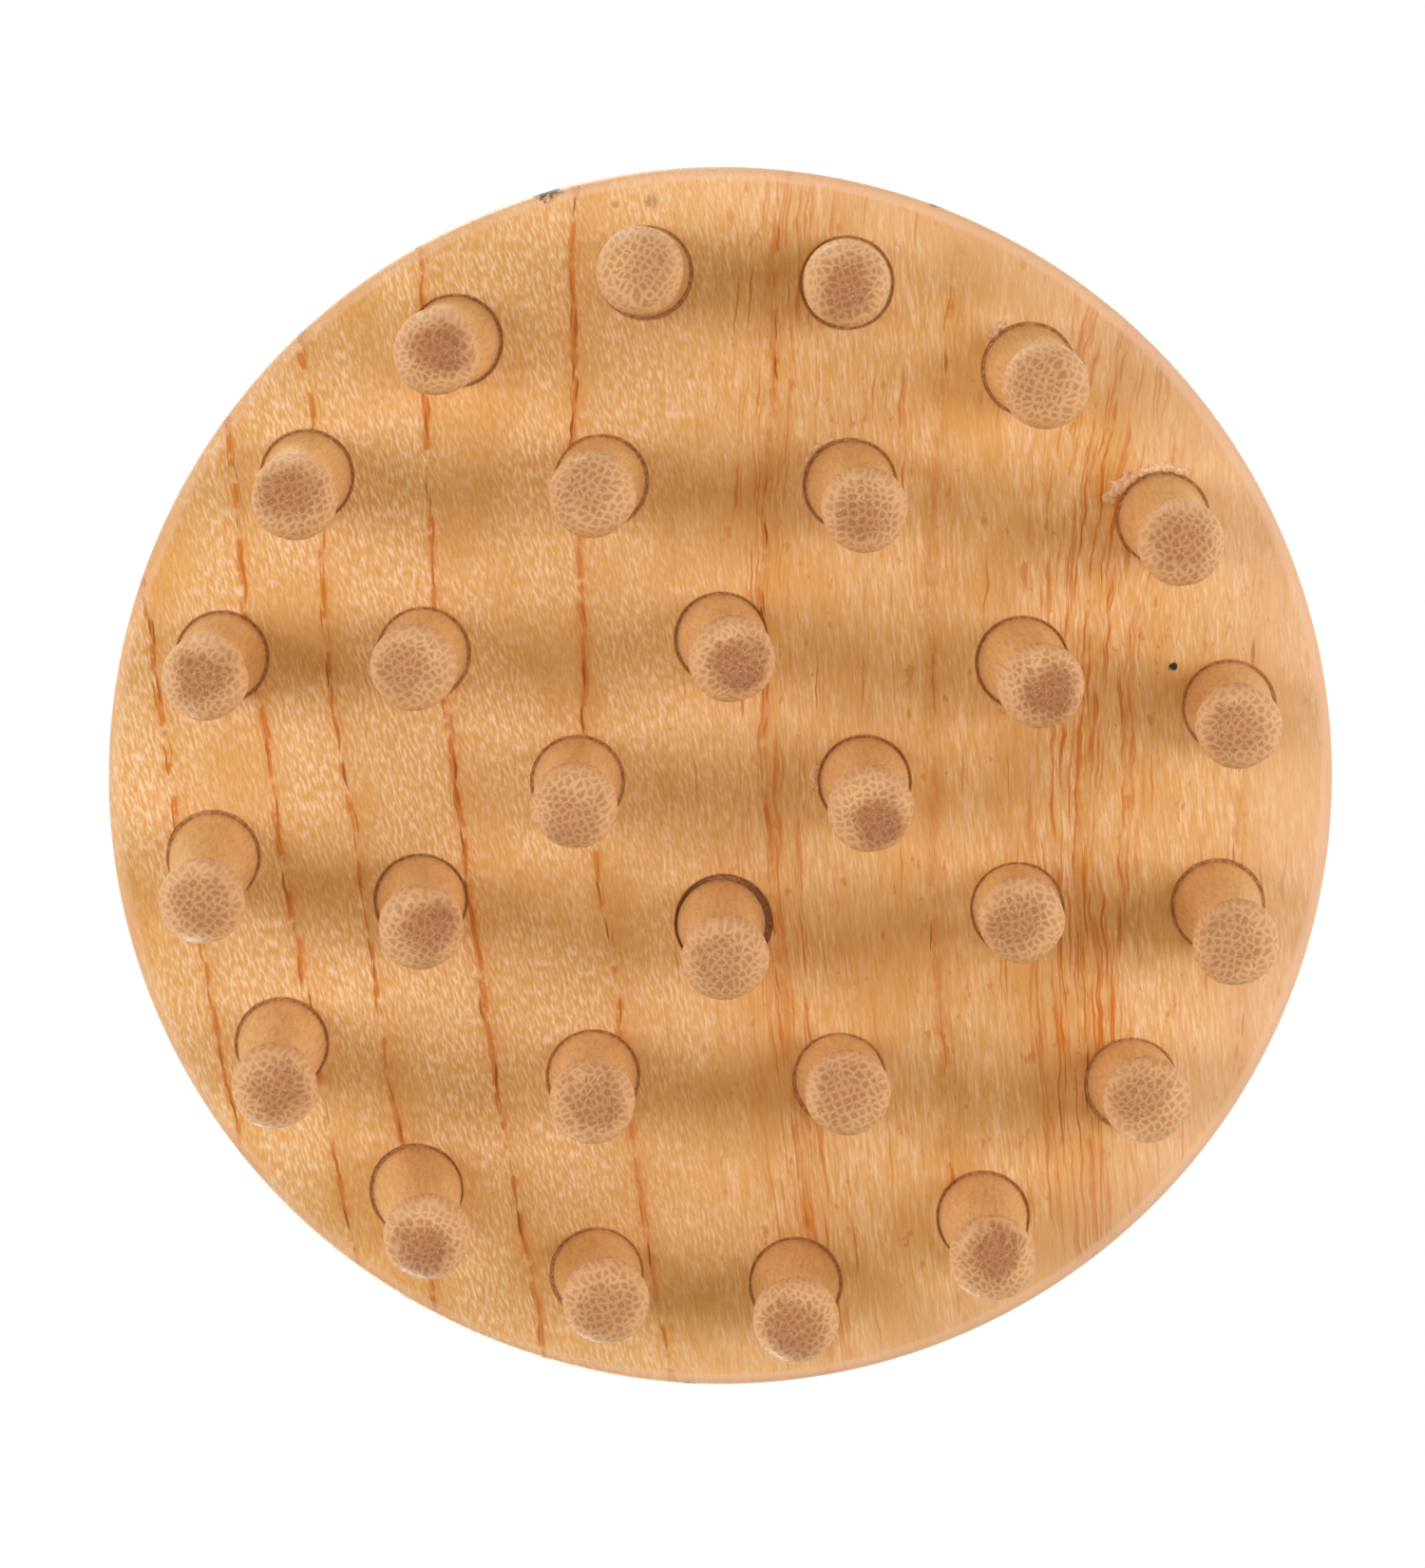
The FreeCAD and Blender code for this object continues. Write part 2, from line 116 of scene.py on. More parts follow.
# Small stains and chips of the disc: centre and radius in millimetres, and darkness.
STAINS = (
    ((9.4, 36.9, 20.8), 0.42, 1.0),
    ((47.2, -5.7, 20.8), 0.7, 0.35),
    ((47.0, -8.5, 20.8), 0.4, 0.25),
    ((48.0, -14.0, 21.9), 1.5, 0.9),
    ((46.9, 17.4, 22.1), 1.0, 0.7),
    ((-49.9, -2.6, 22.0), 1.0, 0.9),
    ((36.4, -34.0, 22.0), 0.6, 0.7),
    ((-47.3, -16.0, 23.6), 1.1, 0.9),
    ((-42.8, -25.8, 22.4), 1.3, 0.6),
    ((24.0, -44.0, 21.8), 0.6, 0.5),
)

# Where the softboxes stand, in metres: one of each pair, from the middle of the disc's face, and
# the one overhead, from the middle of the floor.
UNDER_PLACE = (0.06, 0.46, -0.385)
SIDE_PLACE = (0.44, -0.16, 0.40)
TOP_PLACE = (0.05, 0.15, 0.85)

# Where the camera is and what it looks at, in millimetres from the middle of the disc's face, and
# how near and how far it sees, in metres.
CAMERA_PLACE = (71.3, -7.2, -662.0)
CAMERA_AIM = (-0.2, -0.7, 0.0)
CAMERA_RANGE = (0.01, 20.0)


# The sizes and colours that a user would change.


def length(name, description, default):
    """A size in metres."""
    return bpy.props.FloatProperty(
        name=name, description=description, default=default, subtype="DISTANCE", unit="LENGTH",
        precision=4,
    )


def colour(name, description, default):
    """A colour, as linear red, green and blue."""
    return bpy.props.FloatVectorProperty(
        name=name, description=description, default=default, subtype="COLOR", size=3,
        min=0.0, max=1.0,
    )


def strength(name, description, default, unit="NONE"):
    """How bright a light or surface is."""
    return bpy.props.FloatProperty(
        name=name, description=description, default=default, min=0.0, unit=unit
    )


class DiscSettings(bpy.types.PropertyGroup):
    """Sizes and colours of the disc."""

    radius: length("Radius", "Widest radius of the disc", DISC_HIGH.x)
    thickness: length("Thickness", "Flat face to knob seat", CROWN - FACE)
    seat_radius: length("Seat", "Flat seat under the knob", 10.0 * MM)
    crown_arc: length("Crown", "Arc across the top of the dome", 143.0 * MM)
    shoulder_arc: length("Shoulder", "Arc of the dome's shoulder", 24.5 * MM)
    wall_arc: length("Wall", "Arc of the dome's side", 7.5 * MM)
    rim_height: length("Rim", "Top of the upright rim", 1.8 * MM)
    edge_arc: length("Edge", "Rounding of the edge of the flat face", 1.0 * MM)
    hole_radius: length("Hole radius", "Radius of the peg holes", 3.8 * MM)
    hole_depth: length("Hole depth", "Depth of the peg holes", 7.5 * MM)
    hole_wear: length("Hole wear", "Worn edge of the peg holes", 0.10 * MM)
    socket_radius: length("Socket radius", "Radius of the dowel's socket", 4.05 * MM)
    socket_depth: length("Socket depth", "Depth of the dowel's socket", 11.5 * MM)
    # Pale is laid on the grain's flecks, where it is partly a painted sheen, and on thin layers of
    # the dome.
    pale: colour("Pale", "The lightest flecks of the wood", (0.93, 0.72, 0.60))
    honey: colour("Honey", "The body of the wood", (0.735, 0.437, 0.192))
    amber: colour("Amber", "The darker wood of a growth ring", (0.64, 0.312, 0.072))
    streak: colour("Streak", "Orange haze and streaks", (0.57, 0.170, 0.015))
    pore: colour("Pore", "Open pores along a growth line", (0.30, 0.085, 0.014))
    edge: colour("Edge", "The sanded edge", (0.82, 0.55, 0.44))
    stain: colour("Stain", "Small dark stains", (0.035, 0.028, 0.022))


class PegSettings(bpy.types.PropertyGroup):
    """Sizes and colours of the pegs."""

    ball_radius: length("Ball", "Radius of the ball tip", 3.45 * MM)
    waist_radius: length("Neck", "Radius of the neck above the ball", 1.95 * MM)
    waist_height: length("Neck height", "Neck above the centre of the ball", 2.9 * MM)
    base_radius: length("Base", "Radius of the peg at the face", 3.6 * MM)
    base_height: length("Base height", "Face above the centre of the ball", 17.3 * MM)
    tenon_radius: length("Tenon", "Radius at the end inside the hole", 3.3 * MM)
    tenon_height: length("Tenon height", "Its end above the centre of the ball", 23.8 * MM)
    chamfer: length("Chamfer", "End of the peg inside its hole", 0.5 * MM)
    shank_arc: length("Shank arc", "Slight belly of the shank", 120.0 * MM)
    unevenness: length("Unevenness", "How far hand work leaves a peg out of round", 0.32 * MM)
    bundle: length("Bundle pitch", "Distance between the fibre bundles", 0.64 * MM)
    tan: colour("Tan", "The bamboo's shank", (0.86, 0.56, 0.285))
    cream: colour("Cream", "The soft tissue between the bundles", (0.70, 0.395, 0.225))
    # A painted sheen: the pale rim round the side of a ball tip.
    painted_rim_sheen: colour("Frost", "The dry side of a ball tip", (0.78, 0.49, 0.315))
    dust: colour("Dust", "Pale specks on a ball tip", (0.92, 0.74, 0.60))
    strand: colour("Strand", "The fibre bundles along the shank", (0.56, 0.27, 0.095))
    fibre: colour("Fibre", "The fibre bundles across the ball tip", (0.30, 0.105, 0.033))
    heart: colour("Heart", "The handled middle of a ball tip", (0.32, 0.112, 0.047))
    blush: colour("Blush", "Ruddy patches in the handled middle", (0.52, 0.22, 0.13))


class GlueSettings(bpy.types.PropertyGroup):
    """Sizes and colours of the glue."""

    gap: colour("In the gap", "Glue round a peg", (0.27, 0.105, 0.038))
    thin: colour("Thin", "Thin glue round a peg", (0.52, 0.27, 0.115))
    width: length("Width", "From the hole's wall towards the peg", 0.7 * MM)
    soak: length("Soak", "Into the hole's wall", 0.02 * MM)
    depth: length("Depth", "From the face into the hole", MM)
    crumb: colour("Crumb", "Glue with sawdust on the face", (0.66, 0.36, 0.20))
    dry: colour("Dry", "Dry glue on the face", (0.90, 0.66, 0.52))


class KnobSettings(bpy.types.PropertyGroup):
    """Sizes and colours of the knob."""

    height: length("Height", "Foot to top", KNOB_HIGH.z - KNOB_LOW.z)
    foot_radius: length("Foot", "Flat foot of the knob", 8.8 * MM)
    bead_height: length("Bead height", "Bead round the foot", 2.1 * MM)
    bead_arc: length("Bead arc", "Roundness of the bead", 1.35 * MM)
    groove_radius: length("Groove radius", "Bottom of the groove above the bead", 8.35 * MM)
    groove_height: length("Groove height", "Groove above the bead", 2.3 * MM)
    collar_radius: length("Collar radius", "Just above the groove", 8.55 * MM)
    collar_height: length("Collar height", "Just above the groove", 2.6 * MM)
    grip_radius: length("Grip radius", "Narrowest part", 7.65 * MM)
    grip_height: length("Grip height", "Narrowest part", 9.1 * MM)
    grip_arc: length("Grip arc", "Hollow under the head", 10.9 * MM)
    head_radius: length("Head radius", "Widest part", KNOB_HIGH.x)
    head_height: length("Head height", "Widest part", 23.0 * MM)
    head_arc: length("Head arc", "Rounding of the head above its widest part", 6.5 * MM)
    socket_radius: length("Socket radius", "Radius of the dowel's socket", 4.05 * MM)
    socket_depth: length("Socket depth", "Depth of the dowel's socket", 13.5 * MM)
    light: colour("Light walnut", "Wide bands", (0.37, 0.176, 0.086))
    walnut: colour("Walnut", "The body of the wood", (0.285, 0.116, 0.052))
    dark: colour("Dark walnut", "Narrow late wood", (0.12, 0.042, 0.018))
    dowel_dark: colour("Dowel, dark", "Fibres of the dowel", (0.62, 0.40, 0.22))
    dowel_light: colour("Dowel, light", "The body of the dowel", (0.72, 0.50, 0.30))


class StageSettings(bpy.types.PropertyGroup):
    """Light, floor and camera."""

    floor: colour("Floor", "Plain pale floor", (0.62, 0.74, 0.97))
    floor_size: length("Floor size", "Side of the floor", 6.0)
    floor_glow: strength("Floor glow", "Keeps the floor as bright as the background", 0.48)
    glow_tint: colour("Glow tint", "Colour of the floor's glow", (0.84, 0.90, 1.0))
    white: strength("Background", "Brightness of the plain background", 1.0)
    ambient: strength("Ambient", "Light from all round", 0.50)
    ambient_tint: colour("Ambient tint", "Warmth of the light from all round", (1.0, 0.78, 0.30))
    under_power: strength("Under lights", "Each softbox that lights the pegs", 1.9, "POWER")
    under_size: length("Under size", "Side of those softboxes", 0.30)
    side_power: strength("Side lights", "Each softbox that lights the dome", 1.3, "POWER")
    side_size: length("Side size", "Side of those softboxes", 0.20)
    top_power: strength("Top light", "The softbox overhead", 2.6, "POWER")
    top_size: length("Top size", "Side of that softbox", 0.55)
    lens: bpy.props.FloatProperty(
        name="Lens", description="Focal length", default=187.4, min=1.0, unit="CAMERA"
    )


# Turning, drilling and setting.


def deselect():
    """Leaves nothing selected and nothing in edit mode."""
    if bpy.context.active_object and bpy.context.active_object.mode != "OBJECT":
        bpy.ops.object.mode_set(mode="OBJECT")
    bpy.ops.object.select_all(action="DESELECT")


def pick(piece):
    """Makes a piece the only one selected, and the active one."""
    deselect()
    piece.select_set(True)
    bpy.context.view_layer.objects.active = piece


def arc(centre, radius, first, last, steps):
    """Points of a round stretch of an outline, from one angle to another, in radians."""
    turns = (first + (last - first) * step / steps for step in range(steps + 1))
    return [(centre[0] + radius * math.cos(a), centre[1] + radius * math.sin(a)) for a in turns]


def heading(start, end):
    """The angle of the direction from one point of an outline to another."""
    return math.atan2(end[1] - start[1], end[0] - start[0])


def sweep(steps, angle, centre=(0, 0, 0)):
    """Spins the mesh in edit mode about an upright axis, and makes one closed skin of it."""
    bpy.ops.mesh.select_all(action="SELECT")
    bpy.ops.mesh.spin(steps=steps, angle=angle, center=centre, axis=(0, 0, 1))
    bpy.ops.mesh.select_all(action="SELECT")
    bpy.ops.mesh.remove_doubles(threshold=MERGE)
    bpy.ops.mesh.normals_make_consistent(inside=False)
    bpy.ops.object.mode_set(mode="OBJECT")


def turn_on_lathe(name, outline, sides):
    """Turns a solid about Z from an outline of radii and heights that is shut by itself or Z."""
    deselect()
    bpy.ops.mesh.primitive_plane_add(size=MM, location=(0, 0, 0))
    piece = bpy.context.active_object
    piece.name = piece.data.name = name
    bpy.ops.object.mode_set(mode="EDIT")
    bpy.ops.mesh.merge(type="CENTER")
    bpy.ops.transform.translate(value=(outline[0][0], 0, outline[0][1]))
    for here, there in zip(outline, outline[1:]):
        step = (there[0] - here[0], 0, there[1] - here[1])
        bpy.ops.mesh.extrude_region_move(TRANSFORM_OT_translate={"value": step})
    sweep(sides, FULL_TURN)
    return piece


def copy_of(master):
    """A copy of a piece, with its own mesh."""
    pick(master)
    bpy.ops.object.duplicate(linked=False)
    return bpy.context.active_object


def fix_place(piece, place):
    """Moves a piece and puts its new place in its mesh."""
    pick(piece)
    piece.matrix_world = place
    bpy.ops.object.transform_apply(location=True, rotation=True, scale=True)


def join(pieces, name):
    """Joins pieces into one."""
    deselect()
    for piece in pieces:
        piece.select_set(True)
    bpy.context.view_layer.objects.active = pieces[0]
    bpy.ops.object.join()
    pieces[0].name = pieces[0].data.name = name
    return pieces[0]


def smooth_and_crease(piece, crease=CREASE):
    """Shades a piece smooth, with its sharp edges kept."""
    pick(piece)
    bpy.ops.object.shade_smooth_by_angle(angle=crease)


def roughen(piece, grain, detail, amount, level, group=""):
    """Pushes a piece's skin in and out in lumps of a size, round the level that stays put."""
    lumps = bpy.data.textures.new(piece.name + "_lumps", "CLOUDS")
    lumps.noise_scale, lumps.noise_depth = grain, detail
    shift = piece.modifiers.new("lumps", "DISPLACE")
    shift.texture, shift.texture_coords = lumps, "LOCAL"
    shift.strength, shift.mid_level, shift.vertex_group = amount, level, group
    pick(piece)
    bpy.ops.object.modifier_apply(modifier=shift.name)


def hand_over(piece, slot, *nodes):
    """Puts a finished piece in the place of the nodes that it stands for."""
    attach(piece, BODY)
    if nodes:
        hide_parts(*nodes)


def peg_axis(node):
    """The centre of a peg's ball, and the direction from there up its shank.

    The ball rests on z = 0, so a sphere through its lowest points gives the centre. The points
    farthest from there are the rim of the tenon's end, and their middle is on the axis.
    """
    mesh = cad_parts[node].data
    points = np.unique(np.array([tuple(v.co) for v in mesh.vertices]).round(7), axis=0)
    low = points[points[:, 2] < BALL_CAP]
    rows = np.column_stack([2 * low, np.ones(len(low))])
    centre = np.linalg.lstsq(rows, (low**2).sum(1), rcond=None)[0][:3]
    reach = np.linalg.norm(points - centre, axis=1)
    end = points[reach > reach.max() - 0.01 * MM].mean(0)
    return Vector(centre), Vector(end - centre).normalized()


def hole_centre(node):
    """Where the axis of a peg's hole crosses the face."""
    centre, way = peg_axis(node)
    crossing = centre + way * ((FACE + PIVOT_DEPTH - centre.z) / way.z)
    return Vector((crossing.x, crossing.y, FACE))


def hole_place(node, depth=0.0):
    """The place of a peg's hole: on the face with its axis upright, or that deep inside."""
    place = Matrix.Translation(hole_centre(node))
    if node == WIDE_HOLE:
        wider = Matrix.Diagonal((WIDE_HOLE_SCALE, WIDE_HOLE_SCALE, 1, 1))
        place = Matrix.Translation(WIDE_HOLE_OFFSET) @ place @ wider
    return Matrix.Translation((0, 0, depth)) @ place


def seeded(name):
    """Chance that is the same on each run."""
    return random.Random(sum(ord(letter) * place for place, letter in enumerate(name, start=1)))


# Finishes.


class Value:
    """One output of a finish's nodes. Sums with it add Math nodes."""

    def __init__(self, finish, socket):
        self.finish, self.socket = finish, socket

    def sum(self, operation, *values):
        return self.finish.node("ShaderNodeMath", {"operation": operation}, values)

    def __add__(self, other):
        return self.sum("ADD", self, other)

    def __sub__(self, other):
        return self.sum("SUBTRACT", self, other)

    def __rsub__(self, other):
        return self.sum("SUBTRACT", other, self)

    def __mul__(self, other):
        return self.sum("MULTIPLY", self, other)

    def __truediv__(self, other):
        return self.sum("DIVIDE", self, other)

    def __abs__(self):
        return self.sum("ABSOLUTE", self)

    __radd__ = __add__
    __rmul__ = __mul__

    def root(self):
        return self.sum("SQRT", self)

    def nearest(self):
        return self.sum("ROUND", self)

    def most(self, other):
        return self.sum("MAXIMUM", self, other)

    def least(self, other):
        return self.sum("MINIMUM", self, other)

    def fade(self, start, end):
        """Goes smoothly from 0 where the value is start to 1 where it is end."""
        settings = {"interpolation_type": "SMOOTHSTEP", "clamp": True}
        if start < end:
            return self.finish.node("ShaderNodeMapRange", settings, (self, start, end, 0, 1))
        return self.finish.node("ShaderNodeMapRange", settings, (self, end, start, 1, 0))


class Finish:
    """A material in the making."""

    def __init__(self, name, **constants):
        self.material = bpy.data.materials.new(name)
        self.material.use_nodes = True
        self.tree = self.material.node_tree
        self.shader = self.tree.nodes["Principled BSDF"]
        for socket, value in constants.items():
            self.shader.inputs[socket.replace("_", " ")].default_value = value

    def node(self, kind, settings=None, values=(), output=0):
        """Adds a node. values go to its inputs in order, or by name when they are a dict."""
        node = self.tree.nodes.new(kind)
        for key, setting in (settings or {}).items():
            setattr(node, key, setting)
        pairs = values.items() if isinstance(values, dict) else enumerate(values)
        for key, value in pairs:
            self.give(node.inputs[key], value)
        return Value(self, node.outputs[output])

    def give(self, socket, value):
        """Links a value to a socket, or sets the socket to a number, vector or colour."""
        if isinstance(value, Value):
            self.tree.links.new(value.socket, socket)
        elif socket.type == "RGBA":
            socket.default_value = (*value[:3], 1.0)
        else:
            socket.default_value = value

    def scaled(self, vector, factor):
        """A vector times a number, or times a vector part by part."""
        if isinstance(factor, (int, float)):
            factor = (factor,) * 3
        return self.node("ShaderNodeVectorMath", {"operation": "MULTIPLY"}, (vector, factor))

    def moved(self, vector, way):
        return self.node("ShaderNodeVectorMath", {"operation": "ADD"}, (vector, way))

    def parts(self, vector):
        """The x, y and z of a vector."""
        split = self.node("ShaderNodeSeparateXYZ", None, (vector,)).socket.node
        return [Value(self, socket) for socket in split.outputs]

    def vector(self, x, y, z):
        return self.node("ShaderNodeCombineXYZ", None, (x, y, z))

    def mix(self, amount, first, second):
        """Mixes two colours. A mix node has those at sockets 6 and 7, and gives one at 2."""
        settings = {"data_type": "RGBA", "clamp_factor": True}
        return self.node("ShaderNodeMix", settings, {0: amount, 6: first, 7: second}, output=2)

    def coats(self, ground, *coats):
        """Lays colours over a ground in turn, each with its amount."""
        for amount, colour_over in coats:
            ground = self.mix(amount, ground, colour_over)
        return ground

    def noise(self, place, scale=1.0, detail=2.0, roughness=0.5):
        """Smooth noise from 0 to 1, stretched where the scale has three parts."""
        if not isinstance(scale, (int, float)):
            place, scale = self.scaled(place, scale), 1.0
        return self.node(
            "ShaderNodeTexNoise", {"noise_dimensions": "3D"},
            {"Vector": place, "Scale": scale, "Detail": detail, "Roughness": roughness},
        )

    def bump(self, height, depth):
        """Turns a height from 0 to 1 into a relief of that depth in metres."""
        return self.node(
            "ShaderNodeBump", None, {"Height": height, "Distance": depth, "Strength": 1.0}
        )

    def millimetres(self):
        """The place on the piece, in millimetres."""
        place = self.node("ShaderNodeTexCoord", None, output="Object")
        return self.scaled(place, 1 / MM)

    def paint(self, **sockets):
        """Feeds the shader, and gives back the material."""
        for socket, value in sockets.items():
            self.give(self.shader.inputs[socket.replace("_", " ")], value)
        return self.material


def growth(finish, place):
    """Where a place lies in the board.

    Gives its depth across the rings, how far it is from a growth line and from a loose one, in
    millimetres, and how much late wood there is.
    """
    x, y, z = finish.parts(place)
    drift = finish.noise(place, (0.05, 0.16, 0.16))
    wander = finish.noise(place, (0.30, 0.55, 0.55))
    lean = x - 20 + 0.9 * y
    depth = y - 0.0015 * lean * lean + 0.15 * (z - FACE / MM)
    depth = depth + 2.2 * (drift - 0.5) + 0.9 * (wander - 0.5)
    off_line, late_wood = abs(depth - GROWTH_LINES[0]), None
    for line in GROWTH_LINES:
        past = depth - line
        off_line = off_line.least(abs(past))
        dense = past.fade(-0.3, 0.2) * past.fade(3.5, 0.2)
        late_wood = dense if late_wood is None else late_wood.most(dense)
    off_loose = abs(depth - LOOSE_LINES[0]).least(abs(depth - LOOSE_LINES[1]))
    return depth, off_line, off_loose, late_wood


def open_pores(finish, grain, stretch, wall, share_open):
    """Long pores along the grain, in a share of the cells there, and each one's own tint.

    wall is how far from its cell's middle a pore ends and how far from there it is at its deepest.
    """
    cells = finish.node(
        "ShaderNodeTexVoronoi", {"voronoi_dimensions": "3D", "feature": "F1"},
        {"Vector": finish.scaled(grain, stretch), "Scale": 1.0, "Randomness": 1.0},
    )
    lot, tint, _ = finish.parts(Value(finish, cells.socket.node.outputs["Color"]))
    return cells.fade(*wall) * (share_open - lot).fade(0.0, 0.05), tint


def pale_wood(settings):
    """Pale ring-porous wood under a clear lacquer, with its grain along X.

    The growth lines stand nearly upright and bend a little. Towards -Y their pores lie in narrow
    broken lines. Towards +Y they are loose orange streaks.
    """
    finish = Finish("pale_wood", Coat_Roughness=0.14, Specular_IOR_Level=0.4)
    place = finish.millimetres()
    x, y, z = finish.parts(place)
    face, rim = FACE / MM, settings.radius / MM
    depth, off_line, off_loose, late_wood = growth(finish, place)
    grain = finish.vector(x, depth, z)
    loose_side = y.fade(-16, 10)
    dome = z.fade(face + 1.0, face + 4.0)
    on_face = 1.0 - 0.6 * dome

    # Short slanting flecks, longer towards +Y, fine long fibres, and the thin layers of each ring.
    # The pale flecks are grain, and their brightness in broad patches is also a painted sheen, the
    # shimmer of the wood.
    short = finish.noise(finish.vector(1.25 * x, 4.0 * y + 1.1 * x, 4.0 * z), 1.0, 1.0, 0.5)
    long = finish.noise(finish.vector(0.50 * x, 4.4 * y + 0.45 * x, 4.4 * z), 1.0, 2.0, 0.6)
    fleck = short + 0.75 * loose_side * (long - short)
    fine = finish.noise(grain, (0.45, 6.5, 6.5), 2.0, 0.6)
    layers = finish.noise(grain, (0.25, 2.3, 0.3), 2.0, 0.6)
    # Broad patches of painted sheen over the flecks, as the wood's shimmer.
    painted_shimmer = finish.noise(place, (0.09, 0.16, 0.16))
    # Pale flecks: grain, made brighter in broad patches as a painted sheen.
    bright = fleck.fade(0.42, 0.70) * (0.84 - 0.14 * loose_side)
    bright = bright * (0.60 + 0.45 * painted_shimmer.fade(0.30, 0.62)) * on_face
    layer = 0.85 * depth + 0.8 * fleck
    ripple = (abs(layer - layer.nearest()) * 2.0).fade(0.45, 0.95)
    wood = finish.coats(
        settings.honey,
        (bright, settings.pale),
        (0.42 * fleck.fade(0.48, 0.28) * on_face, settings.amber),
        ((0.50 + 0.20 * loose_side) * fine.fade(0.50, 0.25), settings.amber),
        (0.50 * layers.fade(0.50, 0.33) * (0.5 + 0.8 * dome), settings.amber),
        (0.32 * layers.fade(0.50, 0.68) * dome, settings.pale),
        # The broad patches without painted sheen are darker amber: painted shade of the shimmer.
        (0.40 * painted_shimmer.fade(0.52, 0.30), settings.amber),
        (0.30 * late_wood, settings.amber),
        (0.55 * ripple * painted_shimmer.fade(0.62, 0.42) * dome, settings.amber),
    )

    # Orange fibres, close along the lines and widely round the two loose ones, and small specks.
    fibres = finish.noise(grain, (0.09, 2.2, 2.2), 3.0, 0.65)
    broken = finish.noise(place, (0.42, 0.5, 0.5), 3.0, 0.6)
    specks = finish.noise(place, (0.50, 0.95, 0.95), 3.0, 0.6).fade(0.635, 0.70)
    haze = off_loose.fade(7.0, 0.3) * loose_side * fibres.fade(0.50, 0.64)
    haze = haze * (0.55 + 0.55 * y.fade(14, 24))
    haze = haze + 0.28 * off_line.fade(1.2, 0.2) * broken.fade(0.40, 0.60) * on_face
    haze = haze + 0.30 * loose_side * fibres.fade(0.60, 0.70)
    seam = (off_line + 0.7 * (fine - 0.5)).fade(0.36, 0.10) * broken.fade(0.43, 0.53)
    wood = finish.coats(
        wood,
        (haze, settings.streak),
        (0.80 * seam * (1.0 - 0.75 * loose_side) * on_face, settings.streak),
        (0.55 * specks * loose_side * on_face, settings.streak),
    )

    # Most pores are open near a line and few elsewhere. Towards +Y there are also orange threads.
    near_line = 0.95 * off_line.fade(0.42, 0.20) * (1.0 - 0.7 * loose_side) + 0.012
    near_loose = (0.42 * off_loose.fade(4.5, 0.4) + 0.10) * loose_side
    pores, ripe = open_pores(finish, grain, (0.30, 2.9, 2.9), (0.46, 0.26), near_line)
    threads, tint = open_pores(finish, grain, (0.13, 3.3, 3.3), (0.48, 0.22), near_loose)
    pore_colour = finish.mix(ripe.fade(0.30, 0.90), settings.streak, settings.pore)

    # The rounded edge is sanded thin, so it is paler and duller, and the face is paler near it.
    out = (x * x + y * y).root()
    edge = out.fade(rim - 1.15, rim - 0.85) * z.fade(face + 1.1, face + 0.7)
    near_edge = (out + 0.12 * y).fade(rim - 6, rim + 4) * (1.0 - dome)
    wood = finish.coats(
        wood,
        (0.85 * pores, pore_colour),
        ((0.45 + 0.40 * tint) * threads, settings.streak),
        (0.42 * near_edge + 0.40 * edge, settings.edge),
    )
    pores = pores.most(0.5 * threads)
    return finish, place, wood, bright, pores, fine, dome


def disc_finish(settings):
    """The disc's wood, with a few small stains and chips."""
    finish, place, wood, bright, pores, fine, dome = pale_wood(settings)
    ragged = finish.noise(place, 1.3, 3.0, 0.6)
    stained = None
    for centre, radius, darkness in STAINS:
        away = finish.node(
            "ShaderNodeVectorMath", {"operation": "DISTANCE"}, (place, centre), output="Value"
        )
        spot = darkness * (away + radius * 1.6 * (ragged - 0.5)).fade(radius, 0.55 * radius)
        stained = spot if stained is None else stained.most(spot)
    relief = finish.bump(0.5 * bright + 0.3 * fine - 0.9 * pores - 0.8 * stained, 0.03 * MM)
    return finish.paint(
        Base_Color=finish.mix(stained, wood, settings.stain),
        Roughness=0.40 + 0.14 * fine + 0.25 * pores + 0.3 * stained,
        Coat_Weight=0.15 + 0.50 * dome, Normal=relief,
    )


